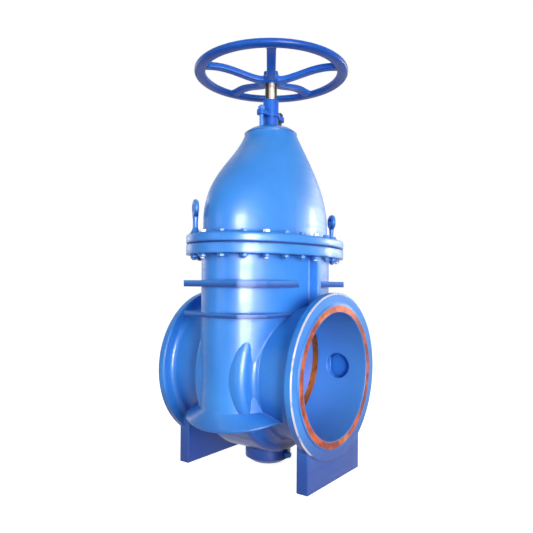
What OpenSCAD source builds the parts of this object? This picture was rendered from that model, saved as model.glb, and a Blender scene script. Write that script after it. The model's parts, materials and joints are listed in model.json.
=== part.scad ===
// Wedge gate valve, nominal bore 600, long pattern: oval body, bell bonnet, inside screw, handwheel.
// Frame: X along the pipe, Y across it, Z up from the floor under the feet. Millimetres.

/* [Ports] */
// Bore of both ports
bore_d = 600; // [590:1:606]
// Outside diameter of the pipe flanges
flange_d = 780; // [770:1:796]
// Diameter of the machined raised faces
raised_d = 676; // [660:1:690]
// Height of the raised faces
raised_h = 5; // [3:1:6]
// Thickness of a pipe flange behind its raised face
flange_t = 38; // [34:1:44]
// Length from one raised face to the other
face_to_face = 800; // [780:2:820]
// Height of the port axis above the floor
axis_h = 490; // [480:1:500]
// Wall of the necks between chamber and flanges
neck_wall = 25; // [22:1:28]
// Radius of the fillet behind each flange
neck_fillet = 26; // [15:1:30]

/* [Body] */
// Outside length of the oval chamber along the pipe
chamber_len = 488; // [480:1:500]
// Outside width of the oval chamber across the pipe
chamber_wid = 864; // [850:1:880]
// Wall thickness of chamber and bonnet
wall = 26; // [22:1:30]
// Diameter of the round drum that houses the wedge
drum_d = 796; // [788:1:804]
// Length of that drum along the pipe
drum_len = 270; // [264:1:280]
// Diameter of the bosses inside the chamber that carry the seat rings
boss_d = 690; // [684:1:700]
// Radius of the hollow between drum and necks
blend_r = 44; // [36:1:46]
// Width of a foot plate across the pipe
foot_wid = 480; // [460:2:500]
// Thickness of a foot plate along the pipe
foot_t = 57; // [50:1:60]
// How far a foot plate stands back from its flange face
foot_inset = 8; // [5:1:12]
// Diameter of the drain boss under the drum
drain_boss_d = 230; // [222:1:236]
// Gap between the drain boss and the floor
drain_boss_lift = 28; // [24:1:32]
// Diameter of the drain plug in the side of that boss
drain_plug_d = 36; // [30:1:40]

/* [Ribs] */
// Height of the upper rib's underside above the port axis
upper_rib_z = 414; // [405:1:425]
// Height of the middle rib's underside above the port axis
middle_rib_z = 278; // [270:1:290]
// Depth of the skirt's top below the port axis
skirt_top_z = 146; // [140:1:152]
// Depth of the skirt's lower edge below the port axis
skirt_low_z = 230; // [224:1:234]
// Length of the skirt along the pipe
skirt_len = 800; // [780:2:820]
// Radius of the bend that lifts the skirt's lower edge towards the necks
skirt_bend_r = 810; // [760:5:860]
// Thickness of the upper rib and of the skirt's edge
rib_t = 29; // [24:1:32]
// Thickness of the middle rib
thin_rib_t = 18; // [14:1:22]
// How far the ribs stand out beyond the chamber's ends
rib_reach = 22; // [16:1:28]
// Thickness of the upright web over each neck
web_t = 26; // [20:1:32]
// How far a web stands out from the chamber
web_reach = 52; // [40:1:60]

/* [Bonnet] */
// Height of the bonnet joint above the port axis
joint_rise = 606; // [600:1:612]
// Thickness of the body flange and of the bonnet flange
joint_flange_t = 44; // [40:1:48]
// How far the joint flange stands out from the chamber
joint_reach = 76; // [70:1:80]
// Thickness of the joint gasket
gasket_t = 4; // [3:0.5:5]
// Outside length of the bell along the pipe
bell_len = 444; // [438:1:452]
// Outside width of the bell, and twice its dome's height
bell_wid = 884; // [876:1:890]
// Height of the bell's straight skirt above its flange
skirt_h = 40; // [34:1:46]
// Radius of the collar around the bonnet's top
collar_r = 134; // [128:1:140]
// Height of the collar's edge above the joint
collar_rise = 576; // [570:1:584]
// Radius of the flat top inside the collar's slope
top_r = 97; // [94:1:102]
// Height of the collar's slope
top_slope_h = 28; // [22:1:32]

/* [Wedge and seats] */
// Half thickness over the wedge rings at the port axis
seat_half = 90; // [86:0.5:92]
// Slope of the wedge faces from the vertical
wedge_angle = 5; // [4:0.25:5.5]
// Gap between wedge rings and seat rings when shut
seat_gap = 0.5; // [0.3:0.1:1]
// Radial width of the wedge and seat rings
ring_wid = 30; // [24:1:32]
// Lift of the wedge from shut to full open
wedge_lift = 620; // [610:2:624]

/* [Stem and gland] */
// Diameter of the stem
stem_d = 60; // [57:1:61]
// Running clearance around the stem, on the radius
stem_gap = 0.5; // [0.3:0.1:0.8]
// Outside diameter of the stuffing box
box_d = 77; // [75:1:82]
// Height of the stuffing box above the bonnet top
box_h = 53; // [48:1:58]
// Spacing of the gland bolts
gland_bolt_span = 160; // [156:1:164]
// Diameter of the gland bolts
gland_bolt_d = 20; // [16:1:22]
// Thickness of the gland flange
gland_flange_t = 22; // [18:1:24]
// Height of the gland's neck above its flange
gland_neck_h = 66; // [60:1:70]

/* [Handwheel] */
// Outside diameter of the rim
wheel_d = 780; // [760:2:790]
// Width of the rim, across its rounded section
rim_wid = 56; // [50:1:60]
// Height of the rim's section
rim_t = 34; // [30:1:38]
// Height of the rim's centre above the bonnet top
wheel_rise = 285; // [280:1:290]
// Number of spokes
spoke_count = 5; // [4:1:6]
// Width of a spoke
spoke_wid = 46; // [40:1:50]
// Thickness of a spoke
spoke_t = 20; // [16:1:24]
// Diameter of the hub
hub_d = 108; // [100:1:116]
// Height of the hub
hub_h = 36; // [32:1:40]
// Depth of the hub's underside below the rim's centre
dish = 54; // [48:1:60]
// Bearing of the first spoke, from the pipe's direction
spoke_bearing = -54; // [-90:1:90]

/* [Lifting eyes and covers] */
// Outside diameter of a lifting eye
eye_d = 84; // [78:1:90]
// Thickness of a lifting eye's ring
eye_t = 24; // [20:1:26]
// Height of a lifting eye over the bonnet flange
eye_h = 164; // [158:1:170]
// Turn of the lifting eyes about their posts
eye_turn = -38; // [-90:1:90]
// Bore of the by-pass branches
bypass_d = 130; // [124:1:134]
// Distance of the by-pass branches from the stem axis
bypass_x = 234; // [230:1:238]
// Thickness of a by-pass cover
cover_t = 18; // [14:1:22]

/* [Hidden] */
$fn = 96;
overlap = 1;
half_len = face_to_face / 2;
flange_r = flange_d / 2;
flange_front = half_len - raised_h;
flange_back = flange_front - flange_t;
flange_edge = 4;
neck_r = bore_d / 2 + neck_wall;
drum_r = drum_d / 2;
boss_r = boss_d / 2;
chamber_r = drum_r - wall;
joint_z = axis_h + joint_rise;
bonnet_z = joint_z + gasket_t;
bonnet_top = bonnet_z + collar_rise + top_slope_h;
skirt_top = bonnet_z + joint_flange_t + skirt_h;
bell_h = bonnet_z + collar_rise - skirt_top;
skirt_z = axis_h - skirt_low_z;
joint_len = chamber_len + 2 * joint_reach + 12;
joint_wid = chamber_wid + 2 * joint_reach - 12;
ring_out_r = bore_d / 2 + ring_wid;
ring_depth = 12;
seat_depth = 22;
seat_stand = 14;
wedge_r = ring_out_r + 8;
wedge_core = seat_half - ring_depth;
wedge_top = axis_h + 420;
nut_d = 130;
nut_h = 70;
stem_foot = wedge_top - nut_h - 12;
stem_hole_r = stem_d / 2 + stem_gap;
pocket_r = stem_d / 2 + 10;
box_top = bonnet_top + box_h;
gland_z = box_top + 8;
gland_top = gland_z + gland_flange_t + gland_neck_h;
hub_z = bonnet_top + wheel_rise - dish;
rim_z = bonnet_top + wheel_rise;
rim_r = (wheel_d - rim_wid) / 2;
spindle_d = 0.8 * stem_d;
washer_t = 5;
wheel_nut_h = 22;
collar_d = stem_d + 8;
collar_h = 30;
bypass_y = neck_r + 52;
bypass_recess = 34;
drain_chamfer = 22;
drain_plug_in = 24;
drain_z = drain_boss_lift + drain_chamfer + drain_plug_d / 2 + 2;
bypass_boss_d = bypass_d + 58;
eye_x = 0.385 * joint_len / 2;
eye_y = 0.825 * joint_wid / 2;

// Upright prism with an oval plan
module oval(length, width, height) {
    scale([length / width, 1, 1]) cylinder(d = width, h = height);
}

// Round bar along the pipe, centred on the port axis
module along_pipe(d, length) {
    translate([0, 0, axis_h]) rotate([0, 90, 0]) cylinder(d = d, h = length, center = true);
}

// Block between the two sloping seat planes, with a given half thickness at the port axis
module wedge_slab(half, drop = 500, rise = 520) {
    low = half - drop * tan(wedge_angle);
    high = half + rise * tan(wedge_angle);
    translate([0, 0, axis_h]) rotate([90, 0, 0])
        linear_extrude(height = 2 * drum_d, center = true)
            polygon([[-low, -drop], [low, -drop], [high, rise], [-high, rise]]);
}

// Points of a hollow quarter arc from [r + f, x] to [r, x - f]
function hollow_arc(r, x, f) = [for (a = [0 : 15 : 90]) [r + f - f * sin(a), x - f + f * cos(a)]];

// Points of a hollow quarter arc from [r, x + f] to [r + f, x]
function foot_arc(r, x, f) = [for (a = [0 : 15 : 90]) [r + f - f * cos(a), x + f - f * sin(a)]];

// Points of a round shoulder that steps up to radius r at place x
function shoulder(r, x, f) = [for (a = [0 : 22.5 : 90]) [r - f + f * sin(a), x - f + f * cos(a)]];

// Outline of one half of the body's round parts, from the port to the middle
function barrel_half() = concat(
    [[0, half_len], [raised_d / 2, half_len], [raised_d / 2, flange_front],
     [flange_r - flange_edge, flange_front], [flange_r, flange_front - flange_edge],
     [flange_r, flange_back + flange_edge], [flange_r - flange_edge, flange_back]],
    hollow_arc(neck_r, flange_back, neck_fillet),
    foot_arc(neck_r, drum_len / 2, blend_r),
    shoulder(drum_r, drum_len / 2, drum_r - neck_r - blend_r));

function mirrored(p) = concat(p, [for (i = [len(p) - 1 : -1 : 0]) [p[i][0], -p[i][1]]]);

// Horizontal rib: an oval plate cut square on all four sides, so that it stands out at the corners
module rib(thickness, z) {
    length = chamber_len - 8;
    width = chamber_wid + 2 * rib_reach;
    translate([0, 0, z]) intersection() {
        oval(1.33 * chamber_len, 1.2 * chamber_wid, thickness);
        translate([-length / 2, -width / 2, -overlap]) cube([length, width, thickness + 2 * overlap]);
    }
}

// Skirt that flares from the chamber's wall to a thick lower edge, bent up towards both necks
module skirt() {
    width = chamber_wid + 2 * rib_reach;
    intersection() {
        hull() {
            translate([0, 0, skirt_z]) oval(skirt_len, width, 0.75 * rib_t, $fn = 72);
            translate([0, 0, axis_h - skirt_top_z]) oval(chamber_len - 2, chamber_wid - 2, overlap, $fn = 72);
        }
        translate([0, 0, skirt_z + skirt_bend_r]) rotate([90, 0, 0])
            cylinder(r = skirt_bend_r, h = 2 * width, center = true);
    }
}

// Foot plate under one flange
module foot() {
    translate([flange_front - foot_inset - foot_t, -foot_wid / 2, 0])
        cube([foot_t, foot_wid, axis_h - bore_d / 3]);
}

// Upright web over one neck, below the joint flange
module web() {
    bottom = axis_h + neck_r - neck_wall / 2;
    translate([chamber_len / 2 - wall / 2, -web_t / 2, bottom])
        cube([web_reach + wall / 2, web_t, joint_z - joint_flange_t / 2 - bottom]);
}

// By-pass branch on the far side of one neck
module bypass_boss() {
    translate([bypass_x, 0, axis_h]) rotate([-90, 0, 0]) cylinder(d = bypass_boss_d, h = bypass_y);
}

// Round boss under the drum, chamfered below
module drain_boss() {
    flat_d = drain_boss_d - 3 * drain_chamfer;
    side_z = drain_boss_lift + drain_chamfer;
    translate([0, 0, side_z]) cylinder(d = drain_boss_d, h = axis_h - drum_r + wall / 2 - side_z);
    translate([0, 0, drain_boss_lift]) cylinder(d1 = flat_d, d2 = drain_boss_d, h = drain_chamfer);
}

module body_outside() {
    along_pipe_profile = mirrored(barrel_half());
    translate([0, 0, axis_h]) rotate([0, 90, 0]) rotate_extrude() polygon(along_pipe_profile);
    translate([0, 0, skirt_z + rib_t]) oval(chamber_len, chamber_wid, joint_z - skirt_z - rib_t - overlap);
    translate([0, 0, joint_z - joint_flange_t]) oval(joint_len, joint_wid, joint_flange_t);
    rib(rib_t, axis_h + upper_rib_z);
    rib(thin_rib_t, axis_h + middle_rib_z);
    skirt();
    for (side = [0, 1]) mirror([side, 0, 0]) {
        foot();
        web();
        bypass_boss();
    }
    drain_boss();
}

module body_inside() {
    along_pipe(bore_d, face_to_face + 2 * overlap);
    intersection() {
        along_pipe(2 * chamber_r, drum_d);
        wedge_slab(seat_half + seat_stand);
    }
    intersection() {
        along_pipe(2 * ring_out_r, drum_d);
        wedge_slab(seat_half + seat_depth);
    }
    difference() {
        translate([0, 0, skirt_z + 2 * wall])
            oval(chamber_len - 2 * wall, chamber_wid - 2 * wall, joint_z - skirt_z);
        along_pipe(2 * boss_r, face_to_face);
    }
    for (side = [0, 1]) mirror([side, 0, 0])
        translate([bypass_x, 0, axis_h]) rotate([-90, 0, 0]) cylinder(d = bypass_d, h = bypass_y + overlap);
    drain_hole();
}

// Drain hole in the side of the drain boss, for its plug
module drain_hole() {
    translate([drain_boss_d / 2 - drain_plug_in, 0, drain_z]) rotate([0, 90, 0])
        cylinder(d = drain_plug_d, h = drain_plug_in + overlap);
}

module body() {
    color("royalblue") difference() {
        body_outside();
        body_inside();
    }
}

module seat_ring(side) {
    color("peru") difference() {
        intersection() {
            along_pipe(2 * ring_out_r, drum_d);
            wedge_slab(seat_half + seat_depth);
            translate([side > 0 ? 0 : -drum_d, -drum_d, 0]) cube([drum_d, 2 * drum_d, 2 * axis_h]);
        }
        wedge_slab(seat_half + seat_gap);
        along_pipe(bore_d, face_to_face);
    }
}

module bypass_cover(side) {
    spigot = bypass_y - bore_d / 2 - bypass_recess;
    color("royalblue") translate([side * bypass_x, bypass_y, axis_h]) rotate([-90, 0, 0]) {
        cylinder(d = bypass_boss_d, h = cover_t);
        translate([0, 0, -spigot]) cylinder(d = bypass_d - 1, h = spigot + overlap);
    }
}

module drain_plug() {
    color("steelblue") {
        translate([drain_boss_d / 2 - drain_plug_in, 0, drain_z]) rotate([0, 90, 0])
            cylinder(d = drain_plug_d, h = drain_plug_in + 8);
        translate([drain_boss_d / 2 + 6, 0, drain_z]) rotate([0, 90, 0])
            cylinder(d = 0.8 * drain_plug_d, h = 14, $fn = 6);
    }
}

module bonnet_gasket() {
    color("dimgray") translate([0, 0, joint_z]) difference() {
        oval(joint_len - 16, joint_wid - 16, gasket_t);
        translate([0, 0, -overlap])
            oval(chamber_len - 2 * wall, chamber_wid - 2 * wall, gasket_t + 2 * overlap);
    }
}

// Half length and half width of the bell at a share t of the way from its skirt to the collar
function bell_x(t) = collar_r + (bell_len / 2 - collar_r) * (1 - pow(t, 2.8));
function bell_y(t) = collar_r + (bell_wid / 2 - collar_r) * pow(1 - pow(t, 2.4), 1.8);

// Bell-shaped shell outside: oval at the skirt, round at the collar
module bell_outside() {
    around = 72;
    rows = 18;
    turns = [for (j = [0 : around - 1]) 360 * j / around];
    levels = concat([[0, -skirt_h - overlap]], [for (i = [0 : rows]) [i / rows, bell_h * i / rows]]);
    points = [for (level = levels, a = turns)
        [bell_x(level[0]) * cos(a), bell_y(level[0]) * sin(a), level[1]]];
    last = (len(levels) - 1) * around;
    low_cap = [for (j = [0 : around - 1]) j];
    high_cap = [for (j = [around - 1 : -1 : 0]) last + j];
    sides = [for (i = [0 : len(levels) - 2], j = [0 : around - 1])
        let (a = i * around + j, b = i * around + (j + 1) % around)
            each [[a, a + around, b], [b, a + around, b + around]]];
    translate([0, 0, skirt_top]) polyhedron(points, concat([low_cap, high_cap], sides));
}

// Space inside the bell: an oval dome under a round crown
module bell_inside() {
    crown_share = 0.88;
    steps = 8;
    half_wid = bell_wid / 2 - wall;
    flank = [for (i = [0 : steps]) let (t = crown_share * i / steps) [bell_x(t) - wall, bell_h * t]];
    translate([0, 0, bonnet_z - overlap])
        oval(bell_len - 2 * wall, bell_wid - 2 * wall, skirt_top - bonnet_z + overlap);
    translate([0, 0, skirt_top]) {
        intersection() {
            scale([(bell_len / 2 - wall) / half_wid, 1, 0.79 * bell_h / half_wid]) sphere(r = half_wid);
            translate([-bell_wid, -bell_wid, -overlap]) cube([2 * bell_wid, 2 * bell_wid, bell_wid]);
        }
        rotate_extrude() polygon(concat([[0, -overlap]], [[bell_x(0) - wall, -overlap]], flank,
            [[0, bell_h * crown_share]]));
    }
}

// Collar round the bonnet's top, with its slope up to the flat
module bonnet_collar() {
    lip = 3;
    lip_h = 8;
    translate([0, 0, skirt_top + bell_h - overlap]) rotate_extrude()
        polygon([[0, 0], [collar_r + lip, 0], [collar_r + lip, lip_h], [top_r, top_slope_h + overlap],
            [0, top_slope_h + overlap]]);
}

module bonnet() {
    color("royalblue") difference() {
        union() {
            translate([0, 0, bonnet_z]) oval(joint_len, joint_wid, joint_flange_t);
            bell_outside();
            bonnet_collar();
        }
        bell_inside();
        cylinder(r = stem_hole_r, h = bonnet_top + overlap);
        translate([0, 0, bonnet_top - collar_h - 2]) cylinder(d = collar_d + 3, h = collar_h + 3);
    }
}

// Eye bolt on a flared foot
module lifting_eye(x, y) {
    post_d = 0.85 * eye_t;
    post_h = eye_h - eye_d + eye_t;
    foot_h = 26;
    color("royalblue") translate([x, y, bonnet_z + joint_flange_t]) {
        cylinder(d1 = 2.4 * post_d, d2 = post_d, h = foot_h);
        cylinder(d = post_d, h = post_h);
        translate([0, 0, eye_h - eye_d / 2]) rotate([90, 0, eye_turn])
            rotate_extrude() translate([(eye_d - eye_t) / 2, 0]) circle(d = eye_t);
    }
}

module stuffing_box() {
    color("royalblue") translate([0, 0, bonnet_top]) difference() {
        cylinder(d = box_d, h = box_h);
        translate([0, 0, -overlap]) cylinder(r = stem_hole_r, h = box_h + 2 * overlap);
    }
}

// Two-bolt gland with a tall neck around the stem
module gland() {
    ear_d = 2.3 * gland_bolt_d;
    color("royalblue") translate([0, 0, gland_z]) difference() {
        union() {
            linear_extrude(height = gland_flange_t) {
                circle(d = box_d + 14);
                square([ear_d - 2, gland_bolt_span], center = true);
                for (side = [-1, 1]) translate([0, side * gland_bolt_span / 2]) circle(d = ear_d);
            }
            cylinder(d = box_d + 2, h = gland_flange_t + gland_neck_h);
            translate([0, 0, box_top - gland_z]) cylinder(d = box_d - 6, h = gland_z - box_top + overlap);
        }
        translate([0, 0, box_top - gland_z - overlap])
            cylinder(r = stem_hole_r, h = gland_top - box_top + 2 * overlap);
        for (side = [-1, 1]) translate([0, side * gland_bolt_span / 2, -overlap])
            cylinder(d = gland_bolt_d, h = gland_flange_t + 2 * overlap);
    }
}

module gland_bolts() {
    plate_top = gland_z + gland_flange_t;
    nut_t = 0.8 * gland_bolt_d;
    color("dimgray") for (side = [-1, 1]) translate([0, side * gland_bolt_span / 2, 0]) {
        translate([0, 0, bonnet_top]) cylinder(d = gland_bolt_d, h = plate_top + nut_t + 8 - bonnet_top);
        translate([0, 0, plate_top]) cylinder(d = 1.8 * gland_bolt_d, h = nut_t, $fn = 6);
    }
}

module wedge() {
    color("royalblue") difference() {
        union() {
            intersection() {
                along_pipe(2 * wedge_r, drum_d);
                wedge_slab(wedge_core);
            }
            translate([0, 0, axis_h]) cylinder(d = nut_d + 50, h = wedge_top - axis_h);
        }
        translate([0, 0, axis_h - wedge_r + wall]) cylinder(r = pocket_r, h = wedge_top);
        translate([0, 0, wedge_top - nut_h]) cylinder(d = nut_d, h = nut_h + overlap);
    }
}

module wedge_ring(side) {
    color("peru") difference() {
        intersection() {
            along_pipe(2 * ring_out_r, drum_d);
            wedge_slab(seat_half);
            translate([side > 0 ? 0 : -drum_d, -drum_d, 0]) cube([drum_d, 2 * drum_d, 2 * axis_h]);
        }
        wedge_slab(wedge_core);
        along_pipe(bore_d, face_to_face);
    }
}

module stem_nut() {
    color("peru") translate([0, 0, wedge_top - nut_h]) difference() {
        cylinder(d = nut_d, h = nut_h);
        translate([0, 0, -overlap]) cylinder(r = stem_hole_r, h = nut_h + 2 * overlap);
    }
}

module stem() {
    color("silver") {
        translate([0, 0, stem_foot]) cylinder(d = stem_d, h = hub_z - stem_foot);
        translate([0, 0, bonnet_top - collar_h - 1]) cylinder(d = collar_d, h = collar_h);
        translate([0, 0, hub_z - overlap])
            cylinder(d = spindle_d, h = hub_h + washer_t + wheel_nut_h + overlap);
    }
}

// Rounded flat section of the rim
module rim_section() {
    square([rim_wid - rim_t, rim_t], center = true);
    for (side = [-1, 1]) translate([side * (rim_wid - rim_t) / 2, 0]) circle(d = rim_t);
}

// Side view of a spoke: an S that climbs from the hub and levels out well before the rim
module spoke_outline() {
    steps = 16;
    level_at = 0.8;
    hump = 5;
    start = hub_d / 2 - 12;
    reach = rim_r - start;
    fall = rim_z - hub_z - hub_h / 2;
    lower = [for (i = [0 : steps]) let (t = i / steps, climb = min(1, t / level_at))
        [start + reach * t, hump * sin(180 * t) - fall * (1 + cos(180 * climb)) / 2 - spoke_t / 2]];
    upper = [for (i = [steps : -1 : 0]) [lower[i][0], lower[i][1] + spoke_t]];
    polygon(concat(lower, upper));
}

module handwheel() {
    color("mediumblue") {
        difference() {
            union() {
                translate([0, 0, rim_z]) rotate_extrude() translate([rim_r, 0]) rim_section();
                translate([0, 0, hub_z]) cylinder(d = hub_d, h = hub_h);
                for (i = [0 : spoke_count - 1]) translate([0, 0, rim_z])
                    rotate([90, 0, spoke_bearing + i * 360 / spoke_count])
                        linear_extrude(height = spoke_wid, center = true) spoke_outline();
            }
            translate([0, 0, hub_z - overlap]) cylinder(d = spindle_d, h = hub_h + 2 * overlap);
        }
    }
}

module handwheel_washer() {
    color("silver") translate([0, 0, hub_z + hub_h]) difference() {
        cylinder(d = 1.9 * spindle_d, h = washer_t);
        translate([0, 0, -overlap]) cylinder(d = spindle_d, h = washer_t + 2 * overlap);
    }
}

module handwheel_nut() {
    color("royalblue") translate([0, 0, hub_z + hub_h + washer_t]) difference() {
        cylinder(d = 1.7 * spindle_d, h = wheel_nut_h, $fn = 6);
        translate([0, 0, -overlap]) cylinder(d = spindle_d, h = wheel_nut_h + 2 * overlap);
    }
}

body();
seat_ring(-1);  // seat_ring_inlet
seat_ring(1);  // seat_ring_outlet
bypass_cover(-1);  // bypass_cover_inlet
bypass_cover(1);  // bypass_cover_outlet
drain_plug();
bonnet_gasket();
bonnet();
lifting_eye(-eye_x, -eye_y);  // lifting_eye_near
lifting_eye(eye_x, eye_y);  // lifting_eye_far
stuffing_box();
gland();
gland_bolts();
wedge();
wedge_ring(-1);  // wedge_ring_inlet
wedge_ring(1);  // wedge_ring_outlet
stem_nut();
stem();
handwheel();
handwheel_washer();
handwheel_nut();
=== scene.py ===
"""Looks of a large wedge gate valve: blue castings, bell bonnet, dished handwheel and bare port faces."""

from __future__ import annotations

import json
import logging
import math
from dataclasses import dataclass, field
from enum import Enum
from functools import partialmethod
from typing import Any, Sequence

import bmesh
import bpy
from mathutils import Matrix, Vector

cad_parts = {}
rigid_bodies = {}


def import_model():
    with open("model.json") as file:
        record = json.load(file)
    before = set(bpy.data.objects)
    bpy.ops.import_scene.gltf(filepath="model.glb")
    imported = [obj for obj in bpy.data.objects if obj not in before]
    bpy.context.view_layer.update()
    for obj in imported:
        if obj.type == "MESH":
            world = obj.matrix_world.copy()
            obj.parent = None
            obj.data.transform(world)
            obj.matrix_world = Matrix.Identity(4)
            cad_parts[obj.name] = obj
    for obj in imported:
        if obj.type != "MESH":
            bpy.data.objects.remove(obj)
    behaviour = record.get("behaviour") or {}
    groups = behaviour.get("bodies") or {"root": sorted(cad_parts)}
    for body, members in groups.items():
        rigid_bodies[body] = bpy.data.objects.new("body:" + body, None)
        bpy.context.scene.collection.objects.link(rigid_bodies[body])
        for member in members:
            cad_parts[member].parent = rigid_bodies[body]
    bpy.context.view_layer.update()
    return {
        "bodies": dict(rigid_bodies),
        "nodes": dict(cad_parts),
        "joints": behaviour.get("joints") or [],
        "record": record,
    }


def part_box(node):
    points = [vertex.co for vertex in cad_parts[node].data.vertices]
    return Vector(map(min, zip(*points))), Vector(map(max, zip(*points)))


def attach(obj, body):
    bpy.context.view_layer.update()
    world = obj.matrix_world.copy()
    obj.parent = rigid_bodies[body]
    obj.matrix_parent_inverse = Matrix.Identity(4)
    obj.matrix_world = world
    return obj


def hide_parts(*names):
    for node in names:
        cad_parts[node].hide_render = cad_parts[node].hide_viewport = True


LOG = logging.getLogger("gate_valve")
BARE_LAYER = "bare_end"
EYE_NODES = ("lifting_eye_near", "lifting_eye_far")

Colour = tuple[float, float, float]
Number = float

WHITE: Colour = (1.0, 1.0, 1.0)


def srgb(*shares: int) -> Colour:
    """Turn a colour as seen on a screen into linear values.

    Args:
        shares: Its red, green and blue, 0 to 255.

    Returns:
        The linear colour.
    """
    def one(share: float) -> float:
        """Linear value of one share."""
        return share / 12.92 if share <= 0.04045 else ((share + 0.055) / 1.055) ** 2.4

    return tuple(one(share / 255) for share in shares)


class Body(Enum):
    """The rigid bodies that carry new pieces."""

    VALVE = "valve"
    SPINDLE = "spindle"


class Tone(tuple, Enum):
    """The main colours, as the photograph shows them."""

    PAINT = srgb(46, 130, 222)
    PAINT_LIGHT = srgb(58, 146, 234)
    PAINT_DEEP = srgb(16, 48, 142)
    # Paler blue laid inside the ports as painted light.
    BORE_PAINTED_LIGHT = srgb(104, 166, 230)
    WHEEL = srgb(28, 96, 206)
    WHEEL_LIGHT = srgb(40, 116, 224)
    WHEEL_DEEP = srgb(8, 32, 108)
    FACE = srgb(206, 94, 36)
    FACE_DARK = srgb(132, 36, 8)
    FACE_LIGHT = srgb(234, 160, 96)
    # Pale line on the near side of the port flanges' front edges: scuffed primer and painted highlight.
    PRIMER_AND_HIGHLIGHT = srgb(234, 224, 220)
    BRONZE = srgb(216, 112, 46)
    BRONZE_DARK = srgb(150, 66, 24)
    STEEL = srgb(216, 204, 182)
    STEEL_STAIN = srgb(112, 86, 60)
    BLACK = srgb(20, 20, 24)
    # Dark strips painted as shade down the stem's sides.
    SIDE_SHADE = srgb(40, 32, 30)
    SEAM = srgb(30, 58, 140)
    ZINC = srgb(240, 236, 220)
    # Pale dust on top faces, also laid on eased edges as wear and painted highlight.
    DUST_AND_HIGHLIGHT = srgb(140, 184, 230)


class Sock:
    """A shader socket that takes part in Python arithmetic."""

    def __init__(self, graph: Graph, socket: bpy.types.NodeSocket) -> None:
        """Keep the graph that the socket belongs to and the socket itself."""
        self.graph = graph
        self.socket = socket

    def _math(self, operation: str, *others: Sock | Number) -> Sock:
        """Add one Math node on this value and any others."""
        return self.graph.node("ShaderNodeMath", {"operation": operation}, dict(enumerate((self, *others))))

    __add__ = __radd__ = partialmethod(_math, "ADD")
    __mul__ = __rmul__ = partialmethod(_math, "MULTIPLY")
    __sub__ = partialmethod(_math, "SUBTRACT")
    __abs__ = partialmethod(_math, "ABSOLUTE")
    sine = partialmethod(_math, "SINE")
    root = partialmethod(_math, "SQRT")
    most = partialmethod(_math, "MAXIMUM")

    def __rsub__(self, other: Number) -> Sock:
        """Difference with the number first."""
        return self.graph.node("ShaderNodeMath", {"operation": "SUBTRACT"}, {0: other, 1: self})

    def ramp(self, low: Number, high: Number) -> Sock:
        """Smooth step of a value.

        Args:
            low: The value that gives 0.
            high: The value that gives 1.

        Returns:
            A share between 0 and 1.
        """
        settings = {"interpolation_type": "SMOOTHSTEP"}
        inputs = {"Value": self, "From Min": low, "From Max": high}
        return self.graph.node("ShaderNodeMapRange", settings, inputs)


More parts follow.
